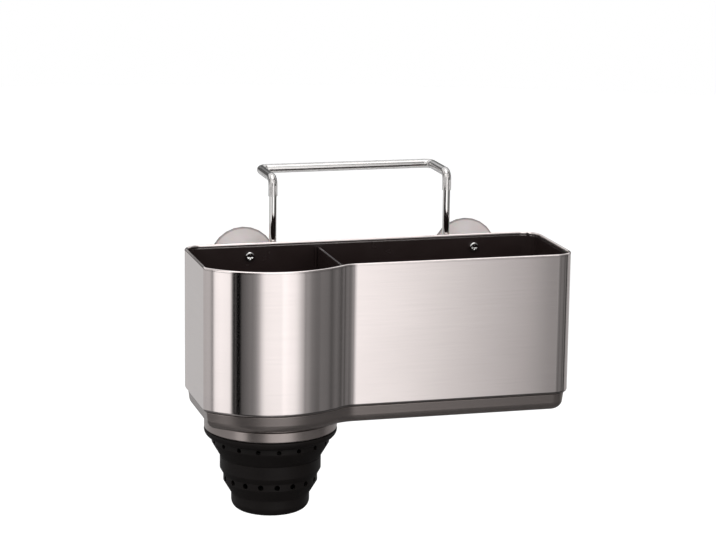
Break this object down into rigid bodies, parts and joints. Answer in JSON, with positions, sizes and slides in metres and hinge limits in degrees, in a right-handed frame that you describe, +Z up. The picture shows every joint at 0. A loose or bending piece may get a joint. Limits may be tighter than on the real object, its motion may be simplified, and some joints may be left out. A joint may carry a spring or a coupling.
{
  "type": "sink caddy",
  "caption": "Steel sink caddy with a sponge bay, a brush bay over a fold-up silicone cup, a sliding wire loop hanger and suction cups.",
  "frame": {"origin": "midway between the two suction cups, in the plane that their lips press on", "axes": "+Z up, +Y back into the sink wall, +X to the right as one faces the caddy's front"},
  "size_m": [0.2388, 0.1371, 0.2065],
  "materials": {
    "brushed_steel": "stainless sheet, fine level brushing",
    "polished_steel": "bright polished wire and screw heads",
    "black_plastic": "smooth moulded polypropylene",
    "grey_plastic": "satin moulded plastic",
    "black_silicone": "matte silicone",
    "sleeve_vinyl": "clear soft vinyl over polished wire",
    "black_vinyl": "soft vinyl end caps",
    "suction_vinyl": "milky soft vinyl"
  },
  "bodies": {
    "caddy": {"outer_shell": "brushed_steel", "inner_liner": "black_plastic", "divider": "black_plastic", "base_tray": "grey_plastic", "cup_retainer": "grey_plastic", "cup_flange": "black_silicone", "upper_fold": "black_silicone", "bracket_left": "grey_plastic", "bracket_right": "grey_plastic", "bracket_screw_left": "polished_steel", "bracket_screw_right": "polished_steel", "suction_cup_left": "suction_vinyl", "suction_cup_right": "suction_vinyl", "tray_screw_1": "polished_steel", "tray_screw_2": "polished_steel", "tray_screw_3": "polished_steel", "tray_screw_4": "polished_steel"},
    "cup_middle": {"middle_band": "black_silicone", "lower_fold": "black_silicone"},
    "cup_bottom": {"cup_base": "black_silicone"},
    "hanger": {"hanger_wire": "polished_steel", "hanger_sleeve": "sleeve_vinyl", "leg_cap_left": "black_vinyl", "leg_cap_right": "black_vinyl"}
  },
  "joints": [
    {"name": "hanger_slide", "type": "slide", "parent": "caddy", "child": "hanger", "axis": [0, 0, 1], "range_m": [-0.028, 0]},
    {"name": "middle_band_slide", "type": "slide", "parent": "caddy", "child": "cup_middle", "axis": [0, 0, 1], "range_m": [0, 0.0178], "deforming": ["upper_fold"]},
    {"name": "cup_base_slide", "type": "slide", "parent": "cup_middle", "child": "cup_bottom", "axis": [0, 0, 1], "range_m": [0, 0.0166], "deforming": ["lower_fold"]}
  ]
}
